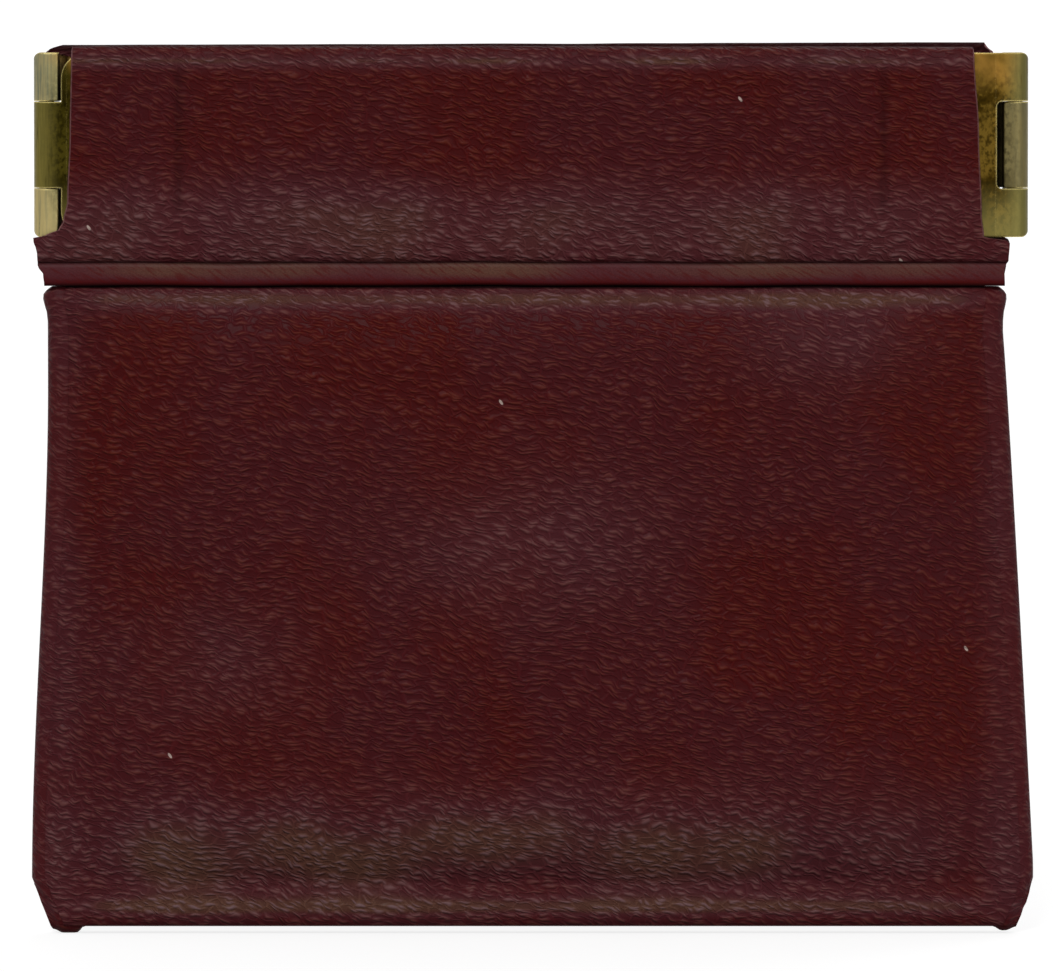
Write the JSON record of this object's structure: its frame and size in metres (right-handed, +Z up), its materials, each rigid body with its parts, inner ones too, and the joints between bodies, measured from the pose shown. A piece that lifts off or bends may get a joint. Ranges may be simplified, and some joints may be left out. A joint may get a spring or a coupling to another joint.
{
  "type": "squeeze coin purse",
  "caption": "Flat squeeze-top coin purse in grained maroon leatherette; pressing the ends of its brass-hinged sprung frame bows the mouth open.",
  "frame": {"origin": "middle of the bottom fold's flat underside, on which the purse stands", "axes": "+X across the purse to its right as the front is seen, +Y from the front to the rear, +Z up to the mouth"},
  "size_m": [0.0848, 0.0082, 0.0755],
  "materials": {
    "cover": "fine wrinkled grain, semi-gloss",
    "cover_edge": "turned edge, semi-gloss",
    "hinge_brass": "aged, burnished at the edges",
    "pin_brass": "drawn wire",
    "spring_steel": "rolled strip"
  },
  "bodies": {
    "pouch": {"bottom_fold": "cover_edge", "left_side_seam": "cover_edge", "right_side_seam": "cover_edge"},
    "left_hinge": {"left_hinge_pin": "pin_brass"},
    "front_left": {"front_left_leaf": "hinge_brass", "front_left_spring_strip": "spring_steel", "front_left_sleeve": "cover"},
    "front_right": {"front_right_leaf": "hinge_brass", "front_right_spring_strip": "spring_steel", "front_right_sleeve": "cover", "right_hinge_pin": "pin_brass"},
    "rear_left": {"rear_left_leaf": "hinge_brass", "rear_left_spring_strip": "spring_steel", "rear_left_sleeve": "cover"},
    "rear_right": {"rear_right_leaf": "hinge_brass", "rear_right_spring_strip": "spring_steel", "rear_right_sleeve": "cover"},
    "front_wall": {"front_panel": "cover"},
    "rear_wall": {"rear_panel": "cover"}
  },
  "joints": [
    {"name": "left_end_squeeze", "type": "slide", "parent": "pouch", "child": "left_hinge", "axis": [1, 0, 0], "range_m": [0, 0.00305]},
    {"name": "front_left_swing", "type": "hinge", "parent": "left_hinge", "child": "front_left", "pos_m": [-0.041, 0, 0.06715], "axis": [0, 0, -1], "range_deg": [0, 22], "stiffness_Nm_per_rad": 0.12, "springref_deg": -2.86},
    {"name": "rear_left_swing", "type": "hinge", "parent": "left_hinge", "child": "rear_left", "pos_m": [-0.041, 0, 0.06715], "axis": [0, 0, 1], "range_deg": [0, 22]},
    {"name": "front_strip_bend", "type": "hinge", "parent": "front_left", "child": "front_right", "pos_m": [0, -0.00015, 0.06715], "axis": [0, 0, 1], "range_deg": [0, 44]},
    {"name": "rear_strip_bend", "type": "hinge", "parent": "rear_left", "child": "rear_right", "pos_m": [0, 0.00015, 0.06715], "axis": [0, 0, -1], "range_deg": [0, 44]},
    {"name": "front_panel_tilt", "type": "hinge", "parent": "pouch", "child": "front_wall", "pos_m": [0, -0.00105, 0.0043], "axis": [1, 0, 0], "range_deg": [0, 17.6]},
    {"name": "rear_panel_tilt", "type": "hinge", "parent": "pouch", "child": "rear_wall", "pos_m": [0, 0.00105, 0.0043], "axis": [-1, 0, 0], "range_deg": [0, 17.6]}
  ],
  "couplings": [
    {"joint": "left_end_squeeze", "follows": "front_left_swing", "m_per_rad": 0.0079215},
    {"joint": "rear_left_swing", "follows": "front_left_swing", "ratio": 1},
    {"joint": "front_strip_bend", "follows": "front_left_swing", "ratio": 2},
    {"joint": "rear_strip_bend", "follows": "front_left_swing", "ratio": 2},
    {"joint": "front_panel_tilt", "follows": "front_left_swing", "ratio": 0.8},
    {"joint": "rear_panel_tilt", "follows": "front_left_swing", "ratio": 0.8}
  ]
}
